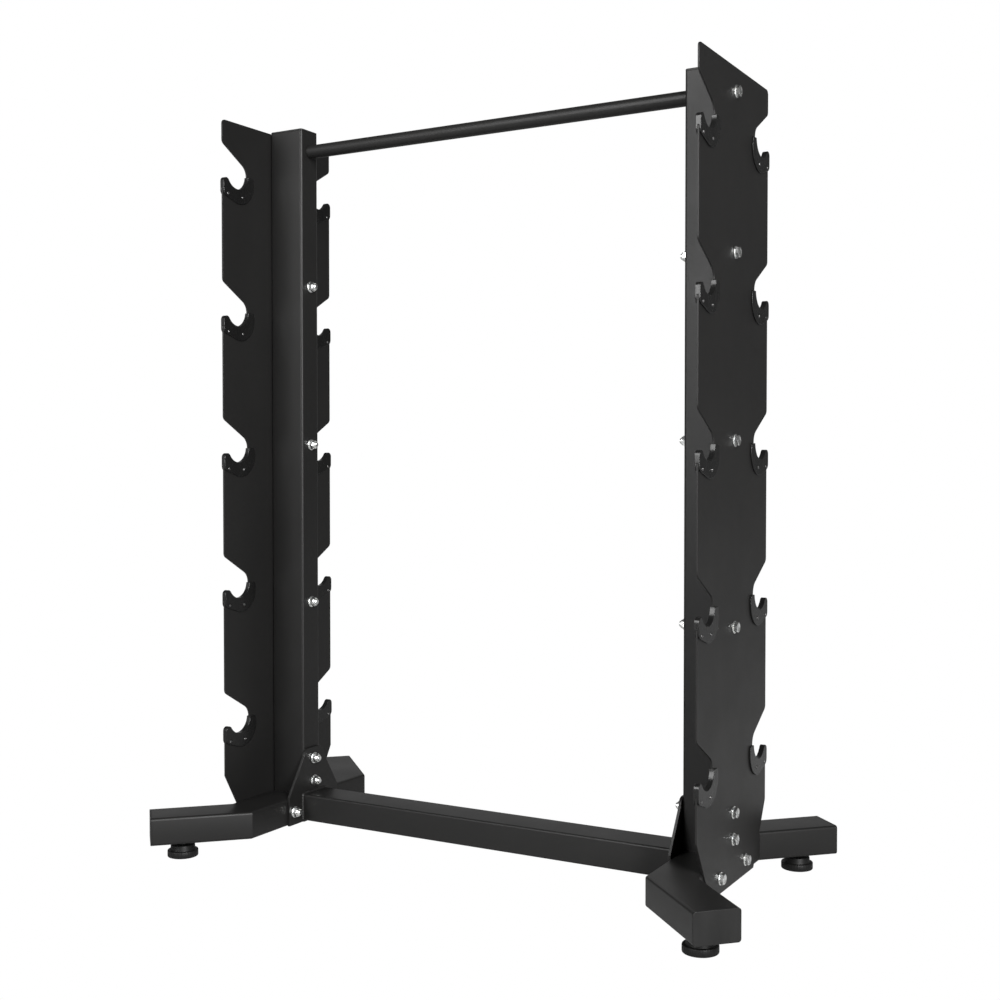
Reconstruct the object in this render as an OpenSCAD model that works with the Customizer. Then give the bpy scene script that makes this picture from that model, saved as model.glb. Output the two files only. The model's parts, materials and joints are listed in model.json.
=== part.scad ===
// Two-sided storage rack for fixed-weight bars. Two uprights stand on splayed feet and are tied together
// by a round bar at the top and a rectangular crossbar at the bottom. A notched steel plate on the outer
// face of each upright carries five saddles on its front edge and five on its rear edge.
// Units are millimetres. The origin is on the floor, centred under the rack. X runs from upright to
// upright, Y from the front row of saddles to the rear row, and Z is up.

/* [Uprights] */
// Clear distance between the inner faces of the two uprights
gap = 774; // [400:1:1200]
// Height of the rack at the top of the upright caps
rack_h = 1351; // [1345:1:1500]
// Width of the upright tube along X
tube_w = 75; // [50:1:100]
// Depth of the upright tube along Y
tube_d = 50; // [40:1:60]
// Wall of the upright and foot tubes
tube_wall = 2.5; // [1.5:0.1:4]
// Outer corner radius of the upright and foot tubes
tube_r = 5; // [3:0.5:8]

/* [Saddle plates] */
// Depth of a saddle plate from its front edge to its rear edge
plate_d = 326; // [280:1:400]
// Thickness of a saddle plate
plate_t = 3; // [2:0.1:5]
// Height of the plate's top edge at its front corner
plate_top = 1347; // [1340:1:1350]
// How much higher the rear side of the plate is than the front side
rear_rise = 4; // [0:0.5:5]
// Height of the seat of the top front saddle
top_seat = 1225; // [1200:1:1235]
// Vertical distance from one saddle to the next
saddle_pitch = 254; // [220:1:255]
// Radius of the seat that holds a bar
seat_r = 29; // [24:0.5:30]
// Horizontal distance from the plate's edge to the middle of the seat
seat_in = 39; // [36:0.5:44]
// Radius of the rounded lip tip
lip_r = 8; // [7:0.5:9]
// Height above the seat at which the lead-in slope starts on the plate's edge
lead_h = 80; // [80:1:90]
// Height at which the plate's vertical edges end
plate_knee = 134; // [110:1:150]
// Distance from the middle to the corners of the plate's bottom edge
plate_foot_y = 103; // [90:1:120]

/* [Saddle liners] */
// Thickness of the liner's web and of each of its flanges
liner_t = 3; // [2:0.1:4]
// Distance the liner's flange reaches below the seat
liner_drop = 27; // [20:1:35]

/* [Base] */
// Height of the underside of the feet
foot_z = 30; // [26:1:45]
// Height of a foot tube
foot_h = 50; // [40:1:60]
// Half length of the straight part of a foot, measured on its inner wall
foot_half = 177; // [150:1:220]
// Angle at which the foot's ends turn outwards
splay = 45; // [20:1:60]
// Length of a splayed end on its inner wall
toe_len = 177; // [120:1:250]
// Distance from the end of the foot tube to the middle of its levelling foot
toe_inset = 55; // [40:1:90]
// Depth of the crossbar along Y
cross_d = 70; // [50:1:80]
// Height of the crossbar
cross_h = 50; // [40:1:60]
// Height of the crossbar's centre line
cross_z = 58; // [56:1:65]
// Thickness of a gusset plate
gusset_t = 5; // [3:0.5:8]

/* [Top bar] */
// Outside diameter of the top bar
bar_d = 25; // [20:0.5:35]
// Height of the top bar's centre line
bar_z = 1310; // [1290:1:1320]

/* [Fasteners] */
// Nominal diameter of the frame bolts
bolt_d = 10; // [8:1:12]
// Length under the head of the bolts that do not pass through a gusset
bolt_len = 95; // [94:1:100]
// Height of the upper bolt that ties each upright to its saddle plate
plate_bolt_z = 1053; // [1000:1:1100]
// Spacing of the three plate bolts
plate_bolt_pitch = 302; // [250:1:320]
// Height of the upper base bolt
base_bolt_hi = 147; // [140:1:150]
// Height of the lower base bolt
base_bolt_lo = 103.5; // [100:0.5:110]
// Height of the foot bolts
foot_bolt_z = 55; // [50:1:60]
// Distance of the foot bolts from the middle
foot_bolt_y = 60; // [55:1:70]

/* [Levelling feet] */
// Radius of the levelling pad
pad_r = 27.5; // [20:0.5:35]
// Height of the levelling pad
pad_h = 22; // [18:1:22]

/* [Hidden] */
$fn = 48;
eps = 0.01;
cut = 5;                       // overshoot of every cutter
half = gap / 2;
foot_top = foot_z + foot_h;
cap_t = 4;                     // top flange of an upright cap
end_cap_t = 3;                 // flange of a foot cap
plug_gap = 0.1;                // clearance of a plastic plug in its tube
plug_len = 18;
plug_wall = 2.5;
plate_x = half + tube_w;       // inner face of a saddle plate
plate_mid = plate_x + plate_t / 2;
edge_y = plate_d / 2;
saddles = 5;
saddle_rows = ["front", "rear"];
sides = ["left", "right"];

// bolts, washers and nuts
shank_r = bolt_d / 2;
hole_r = shank_r + 0.25;
nut_bore_r = shank_r + 0.05;
head_af = 16;
head_h = 6.4;
nut_h = 10;
washer_r = 10.5;
washer_t = 2;
washer_bore_r = shank_r + 0.3;
plate_bolts = [for (i = [0:2]) [0, plate_bolt_z - i * plate_bolt_pitch]];
base_bolts = [[0, base_bolt_hi], [0, base_bolt_lo]];
foot_bolts = [[-foot_bolt_y, foot_bolt_z], [foot_bolt_y, foot_bolt_z]];
bar_bolts = [[0, bar_z]];
column_bolts = concat(plate_bolts, bar_bolts);
gusset_bolts = concat(base_bolts, foot_bolts);
column_holes = concat(column_bolts, base_bolts);
plate_holes = concat(column_bolts, gusset_bolts);

// saddle outline, in distance in from the plate's edge and height above the seat
seat_c = [seat_in, seat_r];
tip_gap = seat_r + lip_r;      // distance between the seat's and the lip tip's centres
lip_c = [lip_r, seat_r - sqrt(pow(tip_gap, 2) - pow(seat_in - lip_r, 2))];
lip_a = atan2(seat_c[1] - lip_c[1], seat_c[0] - lip_c[0]);
throat_r = 22;                 // curve between the lead-in slope and the back of the notch
lead_a = 30;                   // slope of the lead-in
lead_r = 10;                   // rounding where the plate's edge turns into the slope
lead_cut = lead_r * tan((90 - lead_a) / 2);
lead_x = seat_in + seat_r - throat_r + throat_r * sin(lead_a);
lead_t = [lead_x, lead_h - lead_x * tan(lead_a)];    // where the slope runs into the curve
throat_c = lead_t - throat_r * [sin(lead_a), cos(lead_a)];
arm_h = seat_r - 2;            // top of the liner's back arm
wrap_h = -3;                   // lower end of the liner's wrap over the plate's edge
flange_r = 40;
flange_c = [seat_in + 7, flange_r - liner_drop];
heel_r = 10;
heel_c = [heel_r, -7];
arm_round = 4;
liner_screws = [[11.5, -12], [52, -13.5]];
liner_w = plate_t + 2 * liner_t;
slot_gap = 0.1;
screw_r = 2;
screw_head_r = 2.8;
screw_head_h = 1.4;

// feet
toe_c = foot_half - tube_w / 2 * tan(splay / 2);   // bend on the foot's centre line
toe_axis_len = toe_len - tube_w / 2 * tan(splay / 2);
reach = 400;
corner_steps = 6;              // flats in each rounded corner of a foot tube
toe_end = [toe_axis_len * sin(splay), toe_c + toe_axis_len * cos(splay)];
foot_line = [[toe_end[0], -toe_end[1]], [0, -toe_c], [0, toe_c], toe_end];
foot_turn = [splay, splay / 2, -splay / 2, -splay];  // how far the tube's section is turned at each point
foot_stretch = [1, 1 / cos(splay / 2), 1 / cos(splay / 2), 1];

// levelling feet
stem_r = 5;
stem_hex_h = 3;
stem_hex_af = 13;
stem_socket_r = 6;
stem_base = 12;
stem_top = 74;
stem_flange_r = 10;
stem_flange_h = 2;
leveller_along = toe_axis_len - toe_inset;
leveller_x = half + tube_w / 2 + leveller_along * sin(splay);
leveller_y = toe_c + leveller_along * cos(splay);
weld_nut_h = 9;
weld_nut_af = 17;

// top bar
bar_wall = 2;
insert_len = 30;

bead_r = 3.5;                  // weld bead at the crossbar's ends
cross_r = 4;
cross_wall = 2.5;

function arc(c, r, a0, a1, n) =
    [for (i = [0:n]) let (a = a0 + (a1 - a0) * i / n) [c[0] + r * cos(a), c[1] + r * sin(a)]];

// seat and lip tip outline, grown by g away from the bar; from the back arm down and over the lip
function seat_line(g) = concat(
    arc(seat_c, seat_r + g, asin((arm_h - seat_c[1]) / (seat_r + g)), -180 + lip_a, 36),
    arc(lip_c, lip_r - g, lip_a, 180, 20));

function reversed(v) = [for (i = [len(v) - 1:-1:0]) v[i]];

// piece of the plate removed for one saddle, liner pocket included
function notch_points() =
    let (g = liner_t + slot_gap)
    concat(
        [[-cut, lead_h + lead_cut]],
        arc([lead_r, lead_h + lead_cut], lead_r, 180, 270 - lead_a, 8),
        arc(throat_c, throat_r, 90 - lead_a, 0, 12),
        [[throat_c[0] + throat_r, arm_h + slot_gap / 2], [seat_c[0] + seat_r + g, arm_h + slot_gap / 2]],
        seat_line(g),
        [[g, wrap_h], [-cut, wrap_h]]);

// outline of a liner's flanges and web seen along X
lower_a = atan2(heel_c[1] - flange_c[1], heel_c[0] - flange_c[0])
    + acos((flange_r - heel_r) / norm(heel_c - flange_c)) + 360;
arm_out_h = arm_h - arm_round;
arm_out = flange_c[0] + sqrt(pow(flange_r, 2) - pow(arm_out_h - flange_c[1], 2));
function liner_points() = concat(
    seat_line(0),
    arc(heel_c, heel_r, 180, lower_a, 10),
    arc(flange_c, flange_r, lower_a, 360 + asin((arm_out_h - flange_c[1]) / flange_r), 40),
    arc([arm_out - arm_round, arm_out_h], arm_round, 10, 90, 6));

// piece of the liner taken out so that it slips over the plate
function slot_points() = concat(
    [[reach, arm_h + cut], [seat_c[0] + seat_r + liner_t, arm_h + cut]],
    seat_line(liner_t),
    [[liner_t, wrap_h], [-cut, wrap_h], [-cut, -reach], [reach, -reach]]);

module rrect(w, h, r) {
    square([w - 2 * r, h], center = true);
    square([w, h - 2 * r], center = true);
    for (x = [-1, 1], y = [-1, 1]) translate([x * (w / 2 - r), y * (h / 2 - r)]) circle(r);
}

module ring(w, h, r, wall) {
    difference() {
        rrect(w, h, r);
        rrect(w - 2 * wall, h - 2 * wall, max(r - wall, 1));
    }
}

// lays a shape drawn in (Y, Z) flat against the plane x, extruded along +X
module yz(x, t) {
    translate([x, 0, 0]) rotate([90, 0, 90]) linear_extrude(t) children();
}

module x_rod(x0, x1, r, at) {
    translate([x0, at[0], at[1]]) rotate([0, 90, 0]) cylinder(h = x1 - x0, r = r);
}

module x_hex(x0, x1, af, at) {
    translate([x0, at[0], at[1]]) rotate([0, 90, 0]) cylinder(h = x1 - x0, r = af / 2 / cos(30), $fn = 6);
}

// everything is drawn for the right-hand side and mirrored for the left
module on_side(s) {
    if (s == "left") mirror([1, 0, 0]) children();
    else children();
}

module on_row(row) {
    if (row == "rear") translate([0, 0, rear_rise]) mirror([0, 1, 0]) children();
    else children();
}

module upright(s) {
    color([0.16, 0.16, 0.17]) on_side(s) difference() {
        translate([half + tube_w / 2, 0, foot_top])
            linear_extrude(rack_h - cap_t - foot_top) ring(tube_w, tube_d, tube_r, tube_wall);
        for (h = column_holes) x_rod(half - cut, plate_x + cut, hole_r, h);
    }
}

module plug(w, h, len) {
    pw = w - 2 * tube_wall - 2 * plug_gap;
    ph = h - 2 * tube_wall - 2 * plug_gap;
    linear_extrude(len) ring(pw, ph, tube_r - tube_wall, plug_wall);
}

module upright_cap(s) {
    color([0.08, 0.08, 0.08]) on_side(s) translate([half + tube_w / 2, 0, rack_h - cap_t]) {
        linear_extrude(cap_t) rrect(tube_w, tube_d, tube_r);
        translate([0, 0, -plug_len]) plug(tube_w, tube_d, plug_len + eps);
    }
}

module plate_outline() {
    round_c = 8;
    rise = rear_rise * (edge_y * 2 - 2 * round_c) / (edge_y * 2);
    polygon(concat(
        [[-plate_foot_y, foot_z], [plate_foot_y, foot_z], [edge_y, plate_knee]],
        arc([edge_y - round_c, plate_top + rise - round_c], round_c, 0, 90, 8),
        arc([-edge_y + round_c, plate_top - round_c], round_c, 90, 180, 8),
        [[-edge_y, plate_knee]]));
}

module saddle_plate(s) {
    color([0.15, 0.15, 0.16]) on_side(s) difference() {
        yz(plate_x, plate_t) plate_outline();
        for (row = saddle_rows, i = [0:saddles - 1]) on_row(row) {
            translate([0, -edge_y, top_seat - i * saddle_pitch]) {
                yz(plate_x - cut, plate_t + 2 * cut) polygon(notch_points());
                for (p = liner_screws) x_rod(plate_x - cut, plate_x + plate_t + cut, screw_r + 0.1, p);
            }
        }
        for (h = plate_holes) x_rod(plate_x - cut, plate_x + plate_t + cut, hole_r, h);
    }
}

module saddle_liner(row, s, i) {
    color([0.05, 0.05, 0.05]) on_side(s) on_row(row)
        translate([0, -edge_y, top_seat - (i - 1) * saddle_pitch]) difference() {
            yz(plate_mid - liner_w / 2, liner_w) polygon(liner_points());
            yz(plate_mid - plate_t / 2 - slot_gap / 2, plate_t + slot_gap) polygon(slot_points());
            for (p = liner_screws) x_rod(plate_mid - liner_w, plate_mid + liner_w, screw_r + 0.05, p);
        }
}

// two-part binding screws: a plain shank with a domed head on each flange, turned in one piece
module liner_screw_row(row, s) {
    h = liner_w / 2;
    top = h + screw_head_h;
    dome = [[screw_head_r - 0.1, h], [screw_head_r, h + 0.4], [screw_head_r * 0.86, h + screw_head_h * 0.65],
        [screw_head_r * 0.55, h + screw_head_h * 0.88], [screw_head_r * 0.2, top], [0, top]];
    side_line = concat([[screw_r, h]], dome);
    color([0.7, 0.7, 0.72]) on_side(s) on_row(row)
        for (i = [0:saddles - 1], p = liner_screws)
            translate([plate_mid, -edge_y + p[0], top_seat - i * saddle_pitch + p[1]]) rotate([0, 90, 0])
                rotate_extrude() polygon(concat(side_line, [for (q = reversed(side_line)) [q[0], -q[1]]]));
}

// tube section with its corners in flats
function section_points(w, h, r) = [for (q = [0:3], i = [0:corner_steps])
    let (a = 90 * (q + i / corner_steps), sx = (q == 0 || q == 3) ? 1 : -1, sy = q < 2 ? 1 : -1)
    [sx * (w / 2 - r) + r * cos(a), sy * (h / 2 - r) + r * sin(a)]];

// the section repeated at both ends and both bends of the foot's centre line
function swept_points(section) = [for (k = [0:3], q = section) let (u = q[0] * foot_stretch[k])
    [foot_line[k][0] + u * cos(foot_turn[k]), foot_line[k][1] + u * sin(foot_turn[k]), q[1]]];

// quads between point rows a and b, each of n points
function band(a, b, n) = [for (i = [0:n - 1]) [a + i, a + (i + 1) % n, b + (i + 1) % n, b + i]];

// three lengths of tube joined at mitres, drawn about the middle of the straight part
module foot_tube() {
    outer = section_points(tube_w, foot_h, tube_r);
    inner = section_points(tube_w - 2 * tube_wall, foot_h - 2 * tube_wall, tube_r - tube_wall);
    n = len(outer);
    bore = 4 * n;
    polyhedron(concat(swept_points(outer), swept_points(inner)), concat(
        [for (k = [0:2]) each band(k * n, (k + 1) * n, n)],
        [for (k = [0:2]) each band(bore + (k + 1) * n, bore + k * n, n)],
        band(bore, 0, n),
        band(3 * n, bore + 3 * n, n)));
}

module at_levellers() {
    for (m = [-1, 1]) translate([leveller_x, m * leveller_y, 0]) children();
}

module foot(s) {
    color([0.16, 0.16, 0.17]) on_side(s) difference() {
        translate([half + tube_w / 2, 0, foot_z + foot_h / 2]) foot_tube();
        for (h = foot_bolts) x_rod(half - cut, plate_x + cut, hole_r, h);
        at_levellers() cylinder(h = foot_z + foot_h / 2, r = stem_r + 0.5);
    }
}

module foot_cap(row, s) {
    color([0.08, 0.08, 0.08]) on_side(s) mirror([0, row == "front" ? 1 : 0, 0])
        translate([half + tube_w / 2, toe_c, foot_z + foot_h / 2]) rotate([0, 0, -splay])
            translate([0, toe_axis_len, 0]) rotate([-90, 0, 0]) {
                linear_extrude(end_cap_t) rrect(tube_w, foot_h, tube_r);
                translate([0, 0, -plug_len]) plug(tube_w, foot_h, plug_len + eps);
            }
}

module crossbar() {
    color([0.16, 0.16, 0.17]) translate([0, 0, cross_z]) rotate([90, 0, 90])
        linear_extrude(gap - 2 * gusset_t, center = true) ring(cross_d, cross_h, cross_r, cross_wall);
}

module gusset_outline() {
    top_half = 31;
    shoulder = 152;
    crown = 168;
    crown_r = 16;
    base_half = 75;
    knee = foot_top + 4;
    polygon(concat(
        [[-base_half, foot_z], [base_half, foot_z], [base_half, knee], [top_half, shoulder]],
        arc([top_half - crown_r, crown - crown_r], crown_r, 0, 90, 8),
        arc([-top_half + crown_r, crown - crown_r], crown_r, 90, 180, 8),
        [[-base_half, knee]]));
}

module gusset(s) {
    color([0.15, 0.15, 0.16]) on_side(s) difference() {
        yz(half - gusset_t, gusset_t) gusset_outline();
        for (h = gusset_bolts) x_rod(half - gusset_t - cut, half + cut, hole_r, h);
    }
}

// rounded weld bead around each end of the crossbar
module crossbar_welds() {
    w = cross_d - 2 * cross_r;
    h = cross_h - 2 * cross_r;
    color([0.17, 0.17, 0.18]) for (s = sides) on_side(s)
        translate([half - gusset_t, 0, cross_z]) rotate([90, 0, 90]) difference() {
            union() {
                for (m = [-1, 1]) {
                    translate([0, m * cross_h / 2, 0]) rotate([0, 90, 0]) cylinder(h = w, r = bead_r, center = true);
                    translate([m * cross_d / 2, 0, 0]) rotate([90, 0, 0]) cylinder(h = h, r = bead_r, center = true);
                }
                for (x = [0, 1], y = [0, 1]) mirror([x, 0, 0]) mirror([0, y, 0])
                    translate([w / 2, h / 2, 0]) rotate_extrude(angle = 90) translate([cross_r, 0])
                        intersection() {
                            circle(bead_r);
                            translate([0, -bead_r]) square([bead_r, bead_r]);
                        }
            }
            translate([0, 0, -cut]) linear_extrude(2 * cut) rrect(cross_d, cross_h, cross_r);
            translate([-reach / 2, -reach / 2, 0]) cube([reach, reach, cut]);
        }
}

module top_bar() {
    color([0.16, 0.16, 0.17]) translate([0, 0, bar_z]) rotate([0, 90, 0]) difference() {
        cylinder(h = gap, r = bar_d / 2, center = true);
        cylinder(h = gap + 2 * cut, r = bar_d / 2 - bar_wall, center = true);
    }
}

// threaded bush welded into each end of the top bar
module top_bar_insert(s) {
    color([0.45, 0.45, 0.47]) on_side(s) difference() {
        x_rod(half - insert_len, half, bar_d / 2 - bar_wall, [0, bar_z]);
        x_rod(half - insert_len - cut, half + cut, nut_bore_r, [0, bar_z]);
    }
}

// hexagon bolts with their heads on the outer faces of the saddle plates
module frame_bolts() {
    color([0.75, 0.75, 0.77]) for (s = sides) on_side(s) {
        for (h = column_bolts) bolt(bolt_len, h);
        for (h = gusset_bolts) bolt(bolt_len + gusset_t, h);
    }
}

module bolt(len, at) {
    seat_x = plate_x + plate_t + washer_t;
    bevel_h = 1.2;
    x_rod(seat_x - len, seat_x + eps, shank_r, at);
    intersection() {
        x_hex(seat_x, seat_x + head_h, head_af, at);
        translate([seat_x, at[0], at[1]]) rotate([0, 90, 0]) union() {
            cylinder(h = head_h - bevel_h, r = head_af);
            translate([0, 0, head_h - bevel_h])
                cylinder(h = bevel_h, r1 = head_af / 2 + 1.4, r2 = head_af / 2 - 0.6);
        }
    }
}

module frame_washers() {
    color([0.72, 0.72, 0.74]) for (s = sides) on_side(s) {
        for (h = plate_holes) washer(plate_x + plate_t, h);
        for (h = plate_bolts) washer(half - washer_t, h);
        for (h = gusset_bolts) washer(half - gusset_t - washer_t, h);
    }
}

module washer(x, at) {
    difference() {
        x_rod(x, x + washer_t, washer_r, at);
        x_rod(x - cut, x + washer_t + cut, washer_bore_r, at);
    }
}

// locking nuts: a hexagon with a round collar on its far end
module frame_nuts() {
    color([0.75, 0.75, 0.77]) for (s = sides) on_side(s) {
        for (h = plate_bolts) lock_nut(half - washer_t, h);
        for (h = gusset_bolts) lock_nut(half - gusset_t - washer_t, h);
    }
}

module lock_nut(x, at) {
    collar = 3;
    difference() {
        union() {
            x_hex(x - nut_h + collar, x, head_af, at);
            x_rod(x - nut_h, x - nut_h + collar + eps, head_af / 2 - 0.6, at);
        }
        x_rod(x - nut_h - cut, x + cut, nut_bore_r, at);
    }
}

// moulded pad: a wide disc, a smaller disc on it, and a socket for the foot of the stem
module leveller_pad(row, s) {
    brim = 12;
    color([0.06, 0.06, 0.06]) at_leveller(row, s) difference() {
        rotate_extrude() polygon([
            [0, 0], [pad_r - 1.5, 0], [pad_r, 1.5], [pad_r, brim - 2], [pad_r - 2, brim],
            [pad_r - 5, brim], [pad_r - 5.5, pad_h - 2], [pad_r - 7.5, pad_h], [0, pad_h]]);
        translate([0, 0, stem_base - 0.05]) cylinder(h = pad_h, r = stem_socket_r + 0.05);
    }
}

// threaded stem: a plain foot that turns in the pad, a hexagon to drive it, and the threaded rod
module leveller_stem(row, s) {
    hex_z = pad_h + stem_flange_h;
    color([0.7, 0.7, 0.72]) at_leveller(row, s) {
        translate([0, 0, stem_base]) cylinder(h = pad_h - stem_base + 1, r = stem_socket_r);
        translate([0, 0, pad_h + 0.3]) cylinder(h = stem_flange_h - 0.3, r = stem_flange_r);
        translate([0, 0, hex_z - eps]) cylinder(h = stem_hex_h, r = stem_hex_af / 2 / cos(30), $fn = 6);
        translate([0, 0, hex_z]) cylinder(h = stem_top - hex_z, r = stem_r);
    }
}

module at_leveller(row, s) {
    on_side(s) translate([leveller_x, (row == "front" ? -1 : 1) * leveller_y, 0]) children();
}

// hexagon weld nuts inside the foot tubes, one over each levelling foot
module leveller_nuts() {
    color([0.6, 0.6, 0.62]) for (s = sides, row = saddle_rows) at_leveller(row, s)
        translate([0, 0, foot_z + tube_wall]) difference() {
            cylinder(h = weld_nut_h, r = weld_nut_af / 2 / cos(30), $fn = 6);
            translate([0, 0, -cut]) cylinder(h = weld_nut_h + 2 * cut, r = stem_r + 0.05);
        }
}

// name of one liner: its row, its side, and its number counted from the top
function liner_name(row, s, i) = str("saddle_liner_", row, "_", s, "_", i);

for (s = sides) {
    upright(s);
    upright_cap(s);
    saddle_plate(s);
    foot(s);
    gusset(s);
    top_bar_insert(s);
    for (row = saddle_rows) {
        for (i = [1:saddles]) saddle_liner(row, s, i);
        liner_screw_row(row, s);
        foot_cap(row, s);
        leveller_pad(row, s);
        leveller_stem(row, s);
    }
}
crossbar();
crossbar_welds();
top_bar();
frame_bolts();
frame_washers();
frame_nuts();
leveller_nuts();
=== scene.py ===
import json
import math

import bmesh
import bpy
from mathutils import Matrix, Vector


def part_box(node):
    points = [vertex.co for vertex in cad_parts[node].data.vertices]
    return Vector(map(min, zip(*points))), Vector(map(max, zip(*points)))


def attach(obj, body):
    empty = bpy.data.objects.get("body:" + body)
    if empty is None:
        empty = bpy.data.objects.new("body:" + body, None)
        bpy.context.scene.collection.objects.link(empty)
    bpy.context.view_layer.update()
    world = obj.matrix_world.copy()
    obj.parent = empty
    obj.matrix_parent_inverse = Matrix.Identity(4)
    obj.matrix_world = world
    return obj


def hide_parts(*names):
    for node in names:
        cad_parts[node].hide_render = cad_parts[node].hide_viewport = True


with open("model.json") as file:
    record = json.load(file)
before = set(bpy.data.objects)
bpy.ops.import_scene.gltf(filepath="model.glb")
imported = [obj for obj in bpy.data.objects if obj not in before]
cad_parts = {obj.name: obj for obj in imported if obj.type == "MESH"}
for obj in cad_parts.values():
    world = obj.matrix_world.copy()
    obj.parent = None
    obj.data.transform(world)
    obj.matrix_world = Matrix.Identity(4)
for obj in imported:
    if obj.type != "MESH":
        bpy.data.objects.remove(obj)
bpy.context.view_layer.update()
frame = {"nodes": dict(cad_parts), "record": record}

MM = 0.001
TAU = 2 * math.pi
BEVEL_ANGLE = math.radians(40)
scene = bpy.context.scene
nodes = frame["nodes"]
node_body = {n: b for b, ns in frame["record"]["behaviour"]["bodies"].items() for n in ns}
node_slot = {s["node"]: s["material_slot"] for s in frame["record"]["subparts"]}


# ---------------------------------------------------------------- camera, lights, floor

def make_camera():
    data = bpy.data.cameras.new("camera")
    data.sensor_fit = "HORIZONTAL"
    data.sensor_width = 36.0
    data.lens = 48.47
    data.clip_end = 60.0
    cam = bpy.data.objects.new("camera", data)
    cam.location = (1.200, -2.081, 0.7076)
    cam.rotation_euler = (math.radians(90 - 1.391), 0.0, math.radians(29.33))
    scene.collection.objects.link(cam)
    scene.camera = cam


def area_light(name, azimuth, elevation, distance, size, power, aim=(0.0, 0.0, 0.7), colour=(1, 1, 1)):
    """A soft box at an azimuth from +X, pointing at the object. size is (width, height)."""
    data = bpy.data.lights.new(name, "AREA")
    data.shape = "RECTANGLE"
    data.size, data.size_y = size
    data.energy = power
    data.color = colour
    az, el = math.radians(azimuth), math.radians(elevation)
    aim = Vector(aim)
    offset = Vector((math.cos(el) * math.cos(az), math.cos(el) * math.sin(az), math.sin(el)))
    light = bpy.data.objects.new(name, data)
    light.location = aim + distance * offset
    light.rotation_euler = (-offset).to_track_quat("-Z", "Y").to_euler()
    scene.collection.objects.link(light)
    return light


def make_world():
    world = bpy.data.worlds.new("studio")
    scene.world = world
    world.use_nodes = True
    tree = world.node_tree
    tree.nodes.clear()
    out = tree.nodes.new("ShaderNodeOutputWorld")
    seen = tree.nodes.new("ShaderNodeBackground")
    seen.inputs["Color"].default_value = (1, 1, 1, 1)
    seen.inputs["Strength"].default_value = 1.0
    room = tree.nodes.new("ShaderNodeBackground")
    room.inputs["Color"].default_value = (1, 1, 1, 1)
    room.inputs["Strength"].default_value = 0.10
    path = tree.nodes.new("ShaderNodeLightPath")
    mix = tree.nodes.new("ShaderNodeMixShader")
    tree.links.new(path.outputs["Is Camera Ray"], mix.inputs[0])
    tree.links.new(room.outputs[0], mix.inputs[1])
    tree.links.new(seen.outputs[0], mix.inputs[2])
    tree.links.new(mix.outputs[0], out.inputs["Surface"])


def make_floor():
    mesh = bpy.data.meshes.new("floor")
    half = 20.0
    mesh.from_pydata([(-half, -half, 0), (half, -half, 0), (half, half, 0), (-half, half, 0)], [], [(0, 1, 2, 3)])
    floor = bpy.data.objects.new("floor", mesh)
    scene.collection.objects.link(floor)
    mat = bpy.data.materials.new("floor_white")
    mat.use_nodes = True
    tree = mat.node_tree
    paper = tree.nodes["Principled BSDF"]
    paper.inputs["Base Color"].default_value = (0.30, 0.30, 0.30, 1)
    paper.inputs["Roughness"].default_value = 1.0
    paper.inputs["Specular IOR Level"].default_value = 0.0
    paper.inputs["Emission Color"].default_value = (1, 1, 1, 1)
    paper.inputs["Emission Strength"].default_value = 0.22
    seen = tree.nodes.new("ShaderNodeEmission")
    seen.inputs["Strength"].default_value = 1.0
    path = tree.nodes.new("ShaderNodeLightPath")
    mix = tree.nodes.new("ShaderNodeMixShader")
    tree.links.new(path.outputs["Is Camera Ray"], mix.inputs[0])
    tree.links.new(paper.outputs[0], mix.inputs[1])
    tree.links.new(seen.outputs[0], mix.inputs[2])
    tree.links.new(mix.outputs[0], tree.nodes["Material Output"].inputs["Surface"])
    mesh.materials.append(mat)


# ---------------------------------------------------------------- materials

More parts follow.
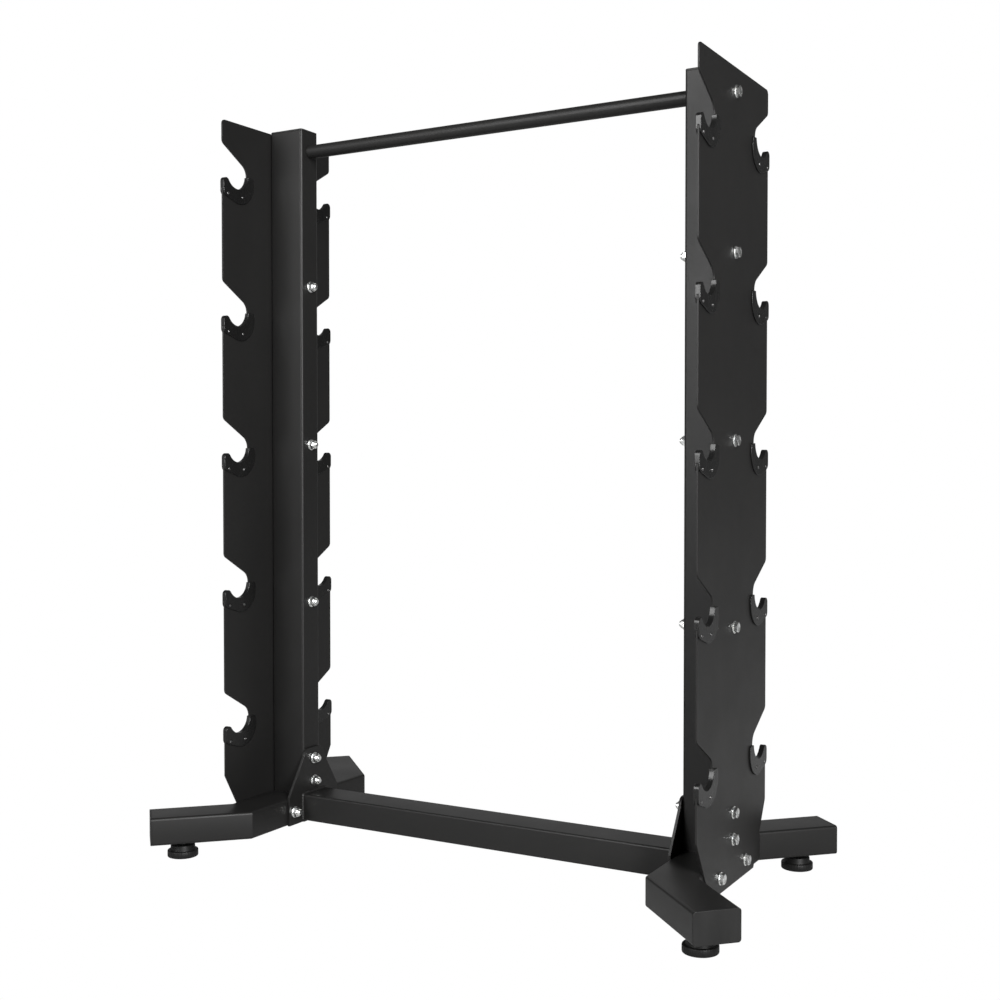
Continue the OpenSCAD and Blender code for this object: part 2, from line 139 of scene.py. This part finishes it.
class Nodes:
    """Short calls for building one node tree."""

    def __init__(self, name):
        self.mat = bpy.data.materials.new(name)
        self.mat.use_nodes = True
        self.tree = self.mat.node_tree
        self.bsdf = self.tree.nodes["Principled BSDF"]
        coord = self.tree.nodes.new("ShaderNodeTexCoord")
        self.where = coord.outputs["Object"]

    def new(self, kind, **values):
        node = self.tree.nodes.new(kind)
        for key, value in values.items():
            setattr(node, key, value)
        return node

    def link(self, a, b):
        self.tree.links.new(a, b)

    def stretched(self, scale):
        """The object's coordinates, scaled by a vector."""
        node = self.new("ShaderNodeMapping")
        node.inputs["Scale"].default_value = scale
        self.link(self.where, node.inputs["Vector"])
        return node.outputs["Vector"]

    def noise(self, scale, detail=2.0, roughness=0.5, where=None):
        node = self.new("ShaderNodeTexNoise")
        node.inputs["Scale"].default_value = scale
        node.inputs["Detail"].default_value = detail
        node.inputs["Roughness"].default_value = roughness
        self.link(where or self.where, node.inputs["Vector"])
        return node.outputs["Fac"]

    def cells(self, scale, where=None):
        node = self.new("ShaderNodeTexVoronoi", feature="F1")
        node.inputs["Scale"].default_value = scale
        self.link(where or self.where, node.inputs["Vector"])
        return node.outputs["Distance"]

    def spread(self, value, low, high, from_low=0.25, from_high=0.75):
        """value, mapped from its usual range to low..high."""
        node = self.new("ShaderNodeMapRange")
        node.inputs["From Min"].default_value = from_low
        node.inputs["From Max"].default_value = from_high
        node.inputs["To Min"].default_value = low
        node.inputs["To Max"].default_value = high
        self.link(value, node.inputs["Value"])
        return node.outputs["Result"]

    def ramp(self, value, *stops):
        """A colour ramp: stops are (position, colour)."""
        node = self.new("ShaderNodeValToRGB")
        band = node.color_ramp
        while len(band.elements) < len(stops):
            band.elements.new(0.5)
        for element, (position, colour) in zip(band.elements, stops):
            element.position = position
            element.color = (*colour, 1)
        self.link(value, node.inputs["Fac"])
        return node.outputs["Color"]

    def add(self, a, b, share=0.5):
        """share of b and the rest of a."""
        node = self.new("ShaderNodeMix", data_type="FLOAT")
        node.inputs["Factor"].default_value = share
        self.link(a, node.inputs[2])
        self.link(b, node.inputs[3])
        return node.outputs[0]

    def bump(self, height, distance, strength=1.0, under=None):
        node = self.new("ShaderNodeBump")
        node.inputs["Distance"].default_value = distance
        node.inputs["Strength"].default_value = strength
        self.link(height, node.inputs["Height"])
        if under is not None:
            self.link(under, node.inputs["Normal"])
        return node.outputs["Normal"]

    def finish(self, colour, roughness, normal=None, **constants):
        self.link(colour, self.bsdf.inputs["Base Color"])
        self.link(roughness, self.bsdf.inputs["Roughness"])
        if normal is not None:
            self.link(normal, self.bsdf.inputs["Normal"])
        for key, value in constants.items():
            self.bsdf.inputs[key.replace("_", " ")].default_value = value
        return self.mat


def powder_coat():
    """Satin black powder paint: fine orange peel over the steel, with slow drifts in gloss."""
    n = Nodes("powder_coat_black")
    drift = n.noise(3.5, 3.0)
    grain = n.noise(900.0, 2.0, 0.6)
    colour = n.ramp(n.add(drift, grain, 0.35), (0.3, (0.0068, 0.0067, 0.0066)), (0.7, (0.0102, 0.0100, 0.0097)))
    gloss = n.spread(n.add(n.noise(11.0, 4.0), grain, 0.4), 0.36, 0.47)
    peel = n.bump(n.noise(420.0, 2.0), 0.00008, 0.55)
    fine = n.bump(n.cells(1500.0), 0.00003, 0.45, under=peel)
    return n.finish(colour, gloss, fine, Specular_IOR_Level=0.21)


def moulded_plastic(name, dark, light, rough_low, rough_high, grain, depth, specular=0.5):
    """Moulded black plastic: fine spark-eroded grain over faint flow lines."""
    n = Nodes(name)
    flow = n.noise(60.0, 3.0, where=n.stretched((1.0, 1.0, 0.25)))
    texture = n.noise(grain, 2.0, 0.6)
    colour = n.ramp(n.add(flow, texture, 0.4), (0.3, dark), (0.7, light))
    gloss = n.spread(n.add(flow, texture, 0.5), rough_low, rough_high)
    waves = n.bump(flow, 0.0002, 0.12)
    skin = n.bump(texture, depth, 0.5, under=waves)
    return n.finish(colour, gloss, skin, Specular_IOR_Level=specular)


def zinc_plate():
    """Bright zinc plating: cool white metal with faint clear-passivate tints and drawn marks."""
    n = Nodes("zinc_plate")
    tint = n.noise(160.0, 3.0, 0.6)
    spots = n.noise(900.0, 2.0)
    colour = n.ramp(n.add(tint, spots, 0.35), (0.25, (0.74, 0.77, 0.80)), (0.5, (0.90, 0.91, 0.90)),
                    (0.75, (0.88, 0.87, 0.82)))
    gloss = n.spread(n.add(n.noise(400.0, 3.0), spots, 0.5), 0.18, 0.34)
    marks = n.bump(n.noise(700.0, 2.0, where=n.stretched((0.2, 1.0, 1.0))), 0.00005, 0.35)
    return n.finish(colour, gloss, marks, Metallic=1.0)


def dark_plate():
    """Black nickel on the small screws of the liners."""
    n = Nodes("black_nickel")
    cloud = n.noise(300.0, 3.0, 0.6)
    specks = n.noise(1200.0, 2.0)
    colour = n.ramp(n.add(cloud, specks, 0.35), (0.3, (0.14, 0.14, 0.145)), (0.7, (0.24, 0.235, 0.23)))
    gloss = n.spread(n.add(cloud, specks, 0.5), 0.22, 0.36)
    return n.finish(colour, gloss, n.bump(specks, 0.00003, 0.3), Metallic=1.0)


def black_steel():
    """Black oxide on the threaded stems, worn a little lighter where it is handled."""
    n = Nodes("black_oxide")
    wear = n.noise(220.0, 3.0, 0.6)
    spots = n.noise(1100.0, 2.0)
    colour = n.ramp(n.add(wear, spots, 0.3), (0.35, (0.016, 0.016, 0.018)), (0.75, (0.040, 0.039, 0.038)))
    gloss = n.spread(n.add(wear, spots, 0.5), 0.32, 0.48)
    return n.finish(colour, gloss, n.bump(spots, 0.00004, 0.3), Specular_IOR_Level=0.5)


def bare_steel():
    """Oiled machined steel inside the tubes."""
    n = Nodes("bare_steel")
    drift = n.noise(90.0, 3.0)
    rings = n.noise(1400.0, 2.0, where=n.stretched((1.0, 0.15, 0.15)))
    colour = n.ramp(drift, (0.3, (0.24, 0.235, 0.23)), (0.7, (0.36, 0.355, 0.35)))
    return n.finish(colour, n.spread(n.add(drift, rings, 0.5), 0.3, 0.5), n.bump(rings, 0.00005, 0.4), Metallic=1.0)


def nylon():
    """Natural nylon of the locking rings."""
    n = Nodes("nylon_ring")
    cloud = n.noise(500.0, 3.0)
    colour = n.ramp(cloud, (0.3, (0.55, 0.56, 0.53)), (0.7, (0.68, 0.69, 0.66)))
    return n.finish(colour, n.spread(cloud, 0.35, 0.5), n.bump(cloud, 0.00005, 0.3))


def make_materials():
    return {
        "powder_coat": powder_coat(),
        "liner_plastic": moulded_plastic(
            "liner_black", (0.0034, 0.0034, 0.0034), (0.0056, 0.0056, 0.0054), 0.20, 0.32, 1100.0, 0.00003, 0.32),
        "cap_plastic": moulded_plastic(
            "cap_black", (0.0062, 0.0062, 0.0061), (0.0096, 0.0095, 0.0093), 0.40, 0.52, 1300.0, 0.00005, 0.21),
        "pad_plastic": moulded_plastic(
            "pad_black", (0.0038, 0.0038, 0.0038), (0.0060, 0.0060, 0.0058), 0.42, 0.58, 1000.0, 0.00006, 0.18),
        "zinc": zinc_plate(),
        "black_steel": black_steel(),
        "dark_plate": dark_plate(),
        "bare_steel": bare_steel(),
        "nylon": nylon(),
    }


# ---------------------------------------------------------------- carried-over CAD nodes

SMOOTH_ANGLE = math.radians(28)


def cleanup_group():
    """Geometry nodes that join the imported faces at their edges and shade by angle."""
    tree = bpy.data.node_groups.new("join_and_shade", "GeometryNodeTree")
    tree.interface.new_socket("Geometry", in_out="INPUT", socket_type="NodeSocketGeometry")
    tree.interface.new_socket("Geometry", in_out="OUTPUT", socket_type="NodeSocketGeometry")
    start = tree.nodes.new("NodeGroupInput")
    end = tree.nodes.new("NodeGroupOutput")
    join = tree.nodes.new("GeometryNodeMergeByDistance")
    join.inputs["Distance"].default_value = 0.002 * MM
    drop = tree.nodes.new("GeometryNodeRemoveAttribute")
    drop.inputs["Name"].default_value = "custom_normal"
    soft = tree.nodes.new("GeometryNodeSetShadeSmooth")
    soft.domain = "FACE"
    crisp = tree.nodes.new("GeometryNodeSetShadeSmooth")
    crisp.domain = "EDGE"
    crisp.inputs["Shade Smooth"].default_value = False
    angle = tree.nodes.new("GeometryNodeInputMeshEdgeAngle")
    over = tree.nodes.new("FunctionNodeCompare")
    over.data_type = "FLOAT"
    over.operation = "GREATER_THAN"
    over.inputs[1].default_value = SMOOTH_ANGLE
    link = tree.links.new
    link(start.outputs[0], join.inputs["Geometry"])
    link(join.outputs[0], drop.inputs["Geometry"])
    link(drop.outputs[0], soft.inputs["Geometry"])
    link(soft.outputs[0], crisp.inputs["Geometry"])
    link(angle.outputs["Unsigned Angle"], over.inputs[0])
    link(over.outputs["Result"], crisp.inputs["Selection"])
    link(crisp.outputs[0], end.inputs[0])
    return tree


def dress_nodes(materials):
    """Every CAD node gets its slot's material; hard-edged ones get small rolled edges."""
    group = cleanup_group()
    rolled = {
        "saddle_plate": (0.45, 2), "gusset": (0.6, 2), "saddle_liner": (0.9, 3),
        "upright_cap": (1.0, 3), "foot_cap": (0.8, 3),
    }
    for name, obj in nodes.items():
        obj.data.materials.clear()
        obj.data.materials.append(materials[node_slot[name]])
        mod = obj.modifiers.new("join", "NODES")
        mod.node_group = group
        width = next((v for k, v in rolled.items() if name.startswith(k)), None)
        if width:
            flat = obj.modifiers.new("flats", "DECIMATE")
            flat.decimate_type = "DISSOLVE"
            flat.angle_limit = math.radians(0.3)
            edge = obj.modifiers.new("edges", "BEVEL")
            edge.width = width[0] * MM
            edge.segments = width[1]
            edge.limit_method = "ANGLE"
            edge.angle_limit = BEVEL_ANGLE
            edge.use_clamp_overlap = False
            edge.harden_normals = True
            edge.miter_outer = "MITER_ARC"


# ---------------------------------------------------------------- mesh helpers

def solids_of(node):
    """(low corner, high corner) of each separate solid in a CAD node, in order."""
    mesh = nodes[node].data
    parent = {}

    def root(k):
        while parent[k] != k:
            parent[k] = parent[parent[k]]
            k = parent[k]
        return k

    keys = [tuple(round(c / (0.01 * MM)) for c in v.co) for v in mesh.vertices]
    for k in keys:
        parent.setdefault(k, k)
    for poly in mesh.polygons:
        first = root(keys[poly.vertices[0]])
        for i in poly.vertices[1:]:
            parent[root(keys[i])] = first
    boxes = {}
    for k, v in zip(keys, mesh.vertices):
        low, high = boxes.setdefault(root(k), (v.co.copy(), v.co.copy()))
        for i in range(3):
            low[i] = min(low[i], v.co[i])
            high[i] = max(high[i], v.co[i])
    return sorted(boxes.values(), key=lambda b: (round(b[0].x, 4), round(b[0].z, 4), round(b[0].y, 4)))


class Builder:
    """Collects the points and faces of one piece."""

    def __init__(self):
        self.points, self.faces = [], []

    def rows(self, rows, place, closed_ends=True, loop=False):
        """Rings of points, joined in order. place moves them. The ends are closed by fans."""
        n = len(rows[0])
        base = len(self.points)
        self.points += [place @ Vector(p) for row in rows for p in row]
        pairs = [(j, j + 1) for j in range(len(rows) - 1)] + ([(len(rows) - 1, 0)] if loop else [])
        for a, b in pairs:
            for i in range(n):
                k = (i + 1) % n
                self.faces.append((base + a * n + i, base + a * n + k, base + b * n + k, base + b * n + i))
        if closed_ends and not loop:
            self.cap(base, rows[0], place, True)
            self.cap(base + (len(rows) - 1) * n, rows[-1], place, False)

    def cap(self, first, row, place, flip):
        n = len(row)
        centre = sum((Vector(p) for p in row), Vector()) / n
        self.points.append(place @ centre)
        c = len(self.points) - 1
        for i in range(n):
            k = (i + 1) % n
            self.faces.append((first + k, first + i, c) if flip else (first + i, first + k, c))

    def piece(self, name, body, material, slot=None, sharp=SMOOTH_ANGLE):
        mesh = bpy.data.meshes.new(name)
        mesh.from_pydata([tuple(p) for p in self.points], [], self.faces)
        bm = bmesh.new()
        bm.from_mesh(mesh)
        bmesh.ops.remove_doubles(bm, verts=bm.verts, dist=0.0005 * MM)
        bmesh.ops.recalc_face_normals(bm, faces=bm.faces)
        for face in bm.faces:
            face.smooth = True
        for edge in bm.edges:
            edge.smooth = len(edge.link_faces) == 2 and edge.calc_face_angle(0.0) < sharp
        bm.to_mesh(mesh)
        bm.free()
        mesh.materials.append(material)
        obj = bpy.data.objects.new(name, mesh)
        scene.collection.objects.link(obj)
        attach(obj, body)
        return obj


def along_x(x, y, z, outward):
    """Places a shape drawn along +Z so that it points along X, outward +1 or -1."""
    turn = Matrix(((0, 0, outward), (0, 1, 0), (-outward, 0, 0))).to_4x4()
    return Matrix.Translation((x, y, z)) @ turn


def ring(radius, z, steps, phase=0.0):
    """One ring of points; radius may be a function of the angle, and so may z."""
    out = []
    for i in range(steps):
        a = TAU * i / steps
        r = radius(a) if callable(radius) else radius
        h = z(a) if callable(z) else z
        out.append((r * math.cos(a + phase), r * math.sin(a + phase), h))
    return out


def hexagon(across):
    """Radius of a hexagon of that width across its flats, as a function of the angle."""
    return lambda a: across / 2 / math.cos((a + math.pi / 6) % (math.pi / 3) - math.pi / 6)


def thread_rows(z0, z1, radius, pitch, steps=32, per_turn=8, tip=0.0):
    """Rows of a rolled thread from z0 to z1, cut back to a chamfer of height tip at z1."""
    depth = 0.613 * pitch
    count = max(2, round((z1 - z0) / pitch * per_turn))
    rows = []
    for j in range(count + 1):
        z = z0 + (z1 - z0) * j / count
        fade = min(1.0, (z - z0) / pitch) if j else 0.0
        limit = radius - max(0.0, z - (z1 - tip))

        def thread_radius(a, z=z, fade=fade, limit=limit):
            t = (z / pitch - a / TAU) % 1.0
            groove = min(1.0, max(0.0, (abs(2 * t - 1) - 0.12) / 0.63))
            return min(radius - depth * fade * groove, limit)

        rows.append(ring(thread_radius, z, steps))
    return rows


# ---------------------------------------------------------------- fasteners

HEX_STEPS = 72


def hex_rows(across, z0, z1, bevel_r0, bevel_r1):
    """Flanks of a hexagon between z0 and z1 with 30 degree chamfers that start at radii bevel_r0 and bevel_r1."""
    flank = hexagon(across)
    slope = math.tan(math.radians(30))
    low = lambda a: z0 + max(0.0, flank(a) - bevel_r0) * slope
    high = lambda a: z1 - max(0.0, flank(a) - bevel_r1) * slope
    return [ring(bevel_r0, z0, HEX_STEPS), ring(flank, low, HEX_STEPS), ring(flank, high, HEX_STEPS),
            ring(bevel_r1, z1, HEX_STEPS)]


def build_bolts(materials):
    made = Builder()
    across, head_h, shank = 16 * MM, 6.4 * MM, 4.98 * MM
    pitch, threaded = 1.5 * MM, 20 * MM
    washer_face = 0.4 * MM
    for low, high in solids_of("frame_bolts"):
        out = 1 if high.x > 0 else -1
        tip = low.x if out > 0 else high.x
        end = high.x if out > 0 else low.x
        y, z = (low.y + high.y) / 2, (low.z + high.z) / 2
        length = abs(end - tip) - head_h
        place = along_x(end - out * head_h, y, z, out)
        rows = thread_rows(0.0, threaded, shank, pitch, tip=0.9 * MM)
        rows = [[(p[0], p[1], -length + threaded - p[2]) for p in row] for row in rows][::-1]
        made.rows(rows + [ring_like(rows[-1], shank, -length + threaded + 0.8 * MM),
                          ring_like(rows[-1], shank, washer_face / 2)], place)
        across_head = across - 0.05 * MM
        head = [ring(shank, 0.0, HEX_STEPS), ring(7.4 * MM, 0.0, HEX_STEPS), ring(7.4 * MM, washer_face, HEX_STEPS)]
        head += hex_rows(across_head, washer_face, head_h, 7.7 * MM, 7.35 * MM)
        head += [ring(5.6 * MM, head_h, HEX_STEPS), ring(4.9 * MM, head_h - 0.45 * MM, HEX_STEPS),
                 ring(1.5 * MM, head_h - 0.6 * MM, HEX_STEPS)]
        made.rows(head, place @ Matrix.Rotation(bolt_turn(y, z), 4, "Z"))
    piece = made.piece("bolts_m10", "rack", materials["zinc"], "zinc")
    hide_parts("frame_bolts")


def ring_like(row, radius, z):
    return [(radius * math.cos(math.atan2(p[1], p[0])), radius * math.sin(math.atan2(p[1], p[0])), z) for p in row]


def bolt_turn(y, z):
    """A different resting angle for each hexagon, fixed by its place."""
    return (y * 31.7 + z * 17.3) % 1.0 * math.pi / 3


def build_washers(materials):
    made = Builder()
    steps, lip = 64, 0.35 * MM
    for low, high in solids_of("frame_washers"):
        t = high.x - low.x
        r = (high.y - low.y) / 2
        bore = 5.3 * MM
        place = along_x(low.x, (low.y + high.y) / 2, (low.z + high.z) / 2, 1)
        profile = [(bore, lip / 2), (bore + lip / 2, 0), (r - lip, 0), (r - lip * 0.3, lip * 0.3), (r, lip),
                   (r, t - lip), (r - lip * 0.3, t - lip * 0.3), (r - lip, t), (bore + lip, t), (bore, t - lip)]
        made.rows([ring(a, b, steps) for a, b in profile], place, loop=True)
    piece = made.piece("washers_m10", "rack", materials["zinc"], "zinc")
    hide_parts("frame_washers")


def build_nuts(materials):
    made, rings = Builder(), Builder()
    across, bore = 15.95 * MM, 5.02 * MM
    hex_top = 7.2 * MM
    for low, high in solids_of("frame_nuts"):
        t = high.x - low.x
        out = 1 if high.x < 0 else -1
        bearing = low.x if out > 0 else high.x
        y, z = (low.y + high.y) / 2, (low.z + high.z) / 2
        place = along_x(bearing, y, z, out) @ Matrix.Rotation(bolt_turn(z, y) + 0.3, 4, "Z")
        rows = [ring(bore, 0.7 * MM, HEX_STEPS), ring(5.6 * MM, 0.0, HEX_STEPS)]
        rows += hex_rows(across, 0.0, hex_top, 7.5 * MM, 7.6 * MM)
        rows += [ring(a * MM, t - b * MM, HEX_STEPS) for a, b in (
            (7.35, 2.5), (7.3, 1.3), (7.1, 0.5), (6.7, 0.1), (6.35, 0.0), (6.1, 0.15), (6.0, 0.5), (6.0, 3.2))]
        rows += [ring(bore, t - 3.4 * MM, HEX_STEPS)]
        made.rows(rows, place, loop=True)
        band = [(5.06, 3.2), (5.98, 3.2), (5.98, 0.9), (5.8, 0.62), (5.3, 0.6), (5.06, 0.85)]
        rings.rows([ring(a * MM, t - b * MM, 48) for a, b in band], place, loop=True)
    nuts = made.piece("lock_nuts_m10", "rack", materials["zinc"], "zinc")
    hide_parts("frame_nuts")
    rings.piece("lock_nut_rings", "rack", materials["nylon"])


def build_liner_screws(materials):
    """Domed binding screws with a hexagon socket in each head."""
    steps = 36
    socket = hexagon(2.0 * MM)
    for node in [n for n in nodes if n.startswith("liner_screws_")]:
        made = Builder()
        for low, high in solids_of(node):
            y, z = (low.y + high.y) / 2, (low.z + high.z) / 2
            middle, half = (low.x + high.x) / 2, (high.x - low.x) / 2
            head, shank = 2.75 * MM, 1.95 * MM
            base, rim = half - 1.4 * MM, 0.35 * MM
            side = [(shank, base), (head - 0.1 * MM, base), (head, base + 0.1 * MM), (head, base + rim)]
            for a in (20, 38, 54, 68):
                side.append((1.35 * MM + 1.4 * MM * math.cos(math.radians(a)),
                             base + rim + 1.05 * MM * math.sin(math.radians(a))))
            side.append((1.38 * MM, half))
            for sign in (1, -1):
                place = along_x(middle, y, z, sign) @ Matrix.Rotation(bolt_turn(y, z * 1.7), 4, "Z")
                rows = [ring(shank, 0.0, steps)] + [ring(r, h, steps) for r, h in side]
                rows += [ring(lambda a: socket(a) + 0.1 * MM, half, steps), ring(socket, half - 0.1 * MM, steps),
                         ring(socket, half - 0.9 * MM, steps), ring(0.4 * MM, half - 1.1 * MM, steps)]
                made.rows(rows, place)
        piece = made.piece(node.replace("liner_screws", "binding_screws"), "rack", materials["dark_plate"], "zinc")
        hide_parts(node)


# ---------------------------------------------------------------- weld bead

def build_welds(materials):
    """A rippled fillet around each end of the crossbar."""
    low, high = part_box("crossbar")
    reach = 3.4 * MM
    corner = 4.0 * MM
    for side, sign in (("left", -1), ("right", 1)):
        made = Builder()
        wall = high.x if sign > 0 else low.x
        cy, cz = (low.y + high.y) / 2, (low.z + high.z) / 2
        hy, hz = (high.y - low.y) / 2, (high.z - low.z) / 2
        path = rounded_path(hy, hz, corner, 0.7 * MM)
        length = path[-1][4] + 0.7 * MM
        waves = round(length / (3.1 * MM))
        rows = []
        for py, pz, ny, nz, s in path:
            t = (s / length * waves + 0.12 * math.sin(s * 310.0)) % 1.0
            swell = 1.0 + 0.10 * math.sin(s * 95.0 + sign) * math.sin(s * 41.0)
            size = reach * swell
            row = []
            for i in range(9):
                a = math.radians(90) * i / 8
                scallop = 1.0 - 0.13 * (abs(2 * t - 1) ** 2.2) * math.sin(2 * a) ** 0.5
                off = size * scallop * math.sin(a)
                back = size * scallop * math.cos(a)
                pull = 0.86 + 0.14 * abs(math.cos(2 * a))
                row.append((wall - sign * back * pull, cy + py + ny * off * pull, cz + pz + nz * off * pull))
            root = 0.3 * MM
            row.append((wall + sign * root, cy + py + ny * size * 0.6, cz + pz + nz * size * 0.6))
            row.append((wall + sign * root, cy + py - ny * root, cz + pz - nz * root))
            row.append((wall - sign * size * 0.6, cy + py - ny * root, cz + pz - nz * root))
            rows.append(row)
        made.rows(rows, Matrix.Identity(4), loop=True)
        piece = made.piece(f"weld_bead_{side}", "rack", materials["powder_coat"], "powder_coat", math.radians(70))
        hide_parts("crossbar_welds")


def rounded_path(half_y, half_z, corner, step):
    """Points around a rounded rectangle: (y, z, outward y, outward z, distance along)."""
    out, s = [], 0.0
    corners = [(half_y - corner, half_z - corner, 0), (-half_y + corner, half_z - corner, 90),
               (-half_y + corner, -half_z + corner, 180), (half_y - corner, -half_z + corner, 270)]
    for q, (y, z, a0) in enumerate(corners):
        turns = 8
        for i in range(turns):
            a = math.radians(a0 + 90 * i / turns)
            out.append((y + corner * math.cos(a), z + corner * math.sin(a), math.cos(a), math.sin(a), s))
            s += corner * math.radians(90) / turns
        y2, z2, _ = corners[(q + 1) % 4]
        a = math.radians(a0 + 90)
        start = Vector((y + corner * math.cos(a), z + corner * math.sin(a)))
        stop = Vector((y2 + corner * math.cos(a), z2 + corner * math.sin(a)))
        run = (stop - start).length
        count = round(run / step)
        for i in range(count):
            p = start.lerp(stop, i / count)
            out.append((p.x, p.y, math.cos(a), math.sin(a), s))
            s += run / count
    return out


# ---------------------------------------------------------------- levelling feet

def build_levellers(materials):
    for row in ("front", "rear"):
        for side in ("left", "right"):
            build_pad(f"leveller_pad_{row}_{side}", materials)
            build_stem(f"leveller_stem_{row}_{side}", materials)


def build_pad(node, materials):
    """Moulded pad: a ribbed brim, a hollow shoulder, a domed boss and a socket for the stem."""
    low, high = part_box(node)
    r, h = (high.x - low.x) / 2, high.z - low.z
    steps = 144
    ribs = 36
    place = Matrix.Translation(((low.x + high.x) / 2, (low.y + high.y) / 2, low.z))
    rib = lambda depth: (lambda a: 1.0 - depth * (0.5 - 0.5 * math.cos(ribs * a)) ** 2)

    def lobed(radius, depth):
        wave = rib(depth * MM / radius)
        return lambda a: radius * wave(a)

    brim = 12.0 * MM
    top = r - 5.4 * MM
    profile = [(r * 0.55, 0.6 * MM, 0), (r * 0.62, 0.0, 0), (r - 1.6 * MM, 0.0, 0), (r - 0.5 * MM, 0.4 * MM, 0.3),
               (r, 1.4 * MM, 0.3), (r, brim - 1.6 * MM, 0.3), (r - 0.5 * MM, brim - 0.5 * MM, 0.2),
               (r - 1.7 * MM, brim, 0), (top + 1.4 * MM, brim, 0), (top + 0.4 * MM, brim + 0.4 * MM, 0),
               (top, brim + 1.4 * MM, 0), (top - 0.4 * MM, h - 2.0 * MM, 0), (top - 1.0 * MM, h - 0.6 * MM, 0),
               (top - 2.4 * MM, h, 0), (6.6 * MM, h, 0), (6.1 * MM, h - 0.5 * MM, 0), (6.1 * MM, 11.9 * MM, 0)]
    made = Builder()
    made.rows([ring(lobed(a, d) if d else a, z, steps) for a, z, d in profile], place)
    piece = made.piece(node.replace("leveller_pad", "pad"), node_body[node], materials["pad_plastic"], "pad_plastic")
    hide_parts(node)


def build_stem(node, materials):
    """Threaded stem with a turning foot, a flange and a hexagon."""
    low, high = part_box(node)
    x, y = (low.x + high.x) / 2, (low.y + high.y) / 2
    made = Builder()
    place = Matrix.Translation((x, y, 0))
    z = lambda v: v * MM
    body = [(5.6, 12.1), (5.95, 12.5), (5.95, 22.4)]
    body += [(9.4, 22.35), (9.95, 22.7), (9.95, 23.5), (9.5, 23.9), (7.0, 23.95)]
    rows = [ring(a * MM, z(b), HEX_STEPS) for a, b in body]
    rows += hex_rows(12.9 * MM, z(23.95), z(26.95), 6.9 * MM, 6.1 * MM)[1:]
    rows += [ring(5.2 * MM, z(26.95), HEX_STEPS)]
    made.rows(rows, place)
    made.rows(thread_rows(z(26.5), high.z, 4.97 * MM, 1.5 * MM, tip=1.0 * MM), place)
    name = node.replace("leveller_stem", "stem")
    piece = made.piece(name, node_body[node], materials["black_steel"], "black_steel")
    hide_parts(node)


# ---------------------------------------------------------------- build

scene.view_settings.view_transform = "Standard"
make_camera()
make_world()
make_floor()
area_light("key", -106, 23, 4.4, (1.5, 3.4), 190)
area_light("fill", -38, 18, 4.5, (0.5, 3.2), 430)
area_light("rear_wall", 120, 14, 5.0, (8.0, 2.4), 25)
area_light("front_left", -135, 14, 4.5, (1.6, 3.0), 16)

materials = make_materials()
dress_nodes(materials)
build_bolts(materials)
build_washers(materials)
build_nuts(materials)
build_liner_screws(materials)
build_welds(materials)
build_levellers(materials)
